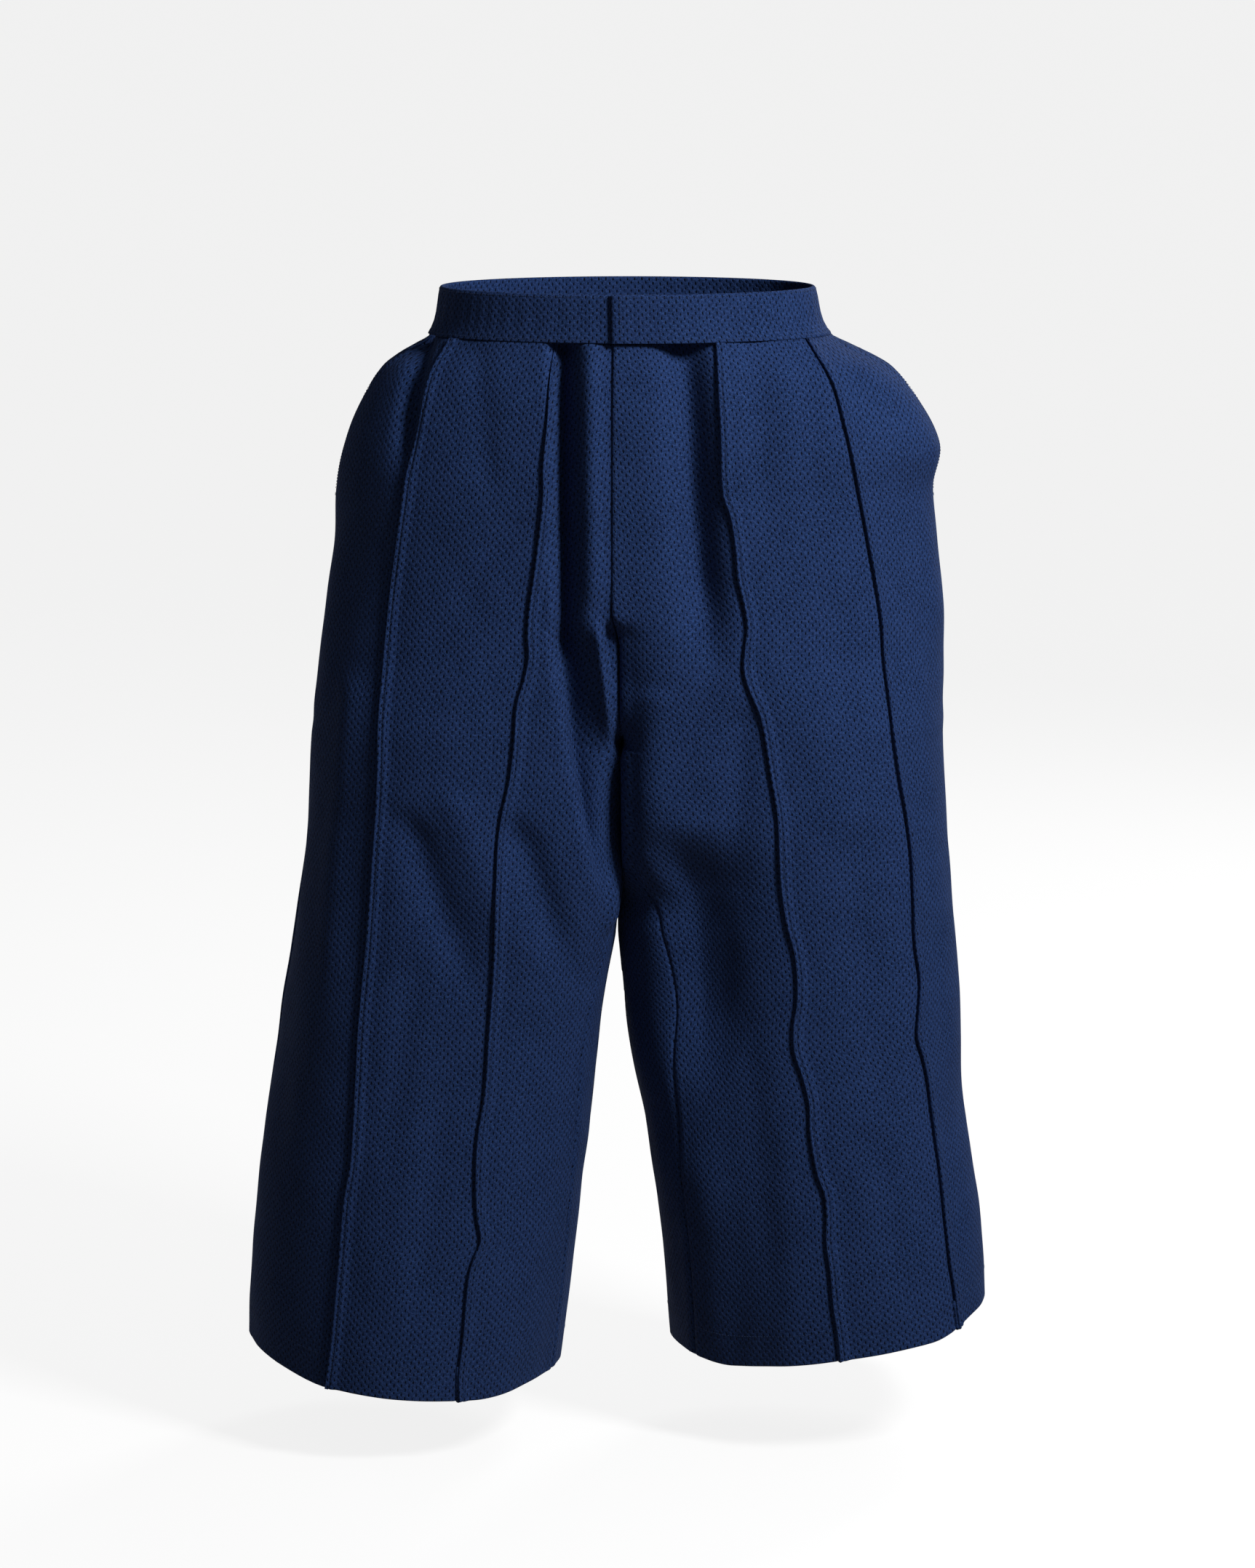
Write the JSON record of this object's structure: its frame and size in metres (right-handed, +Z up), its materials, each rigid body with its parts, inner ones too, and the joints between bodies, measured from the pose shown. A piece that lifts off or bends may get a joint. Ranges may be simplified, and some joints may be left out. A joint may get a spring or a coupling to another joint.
{
  "type": "samue trousers",
  "caption": "Wide-legged samue trousers, worn and hollow, with pintucked fronts, a lapped fly, a plain waistband and open side-seam pockets.",
  "frame": {"origin": "middle of the waist opening, level with the top edge of the waistband", "axes": "+Z up along the legs towards the waist, +X towards the wearer's left, the front faces -Y"},
  "size_m": [0.7164, 0.3128, 1.0462],
  "materials": {
    "cloth": "matt indigo rice-grain weave",
    "pocketing": "plain dark indigo cotton"
  },
  "bodies": {
    "root": {"front_right": "cloth", "front_left": "cloth", "back_right": "cloth", "back_left": "cloth", "waistband": "cloth", "pocket_bag_right": "pocketing", "pocket_bag_left": "pocketing"}
  },
  "joints": []
}
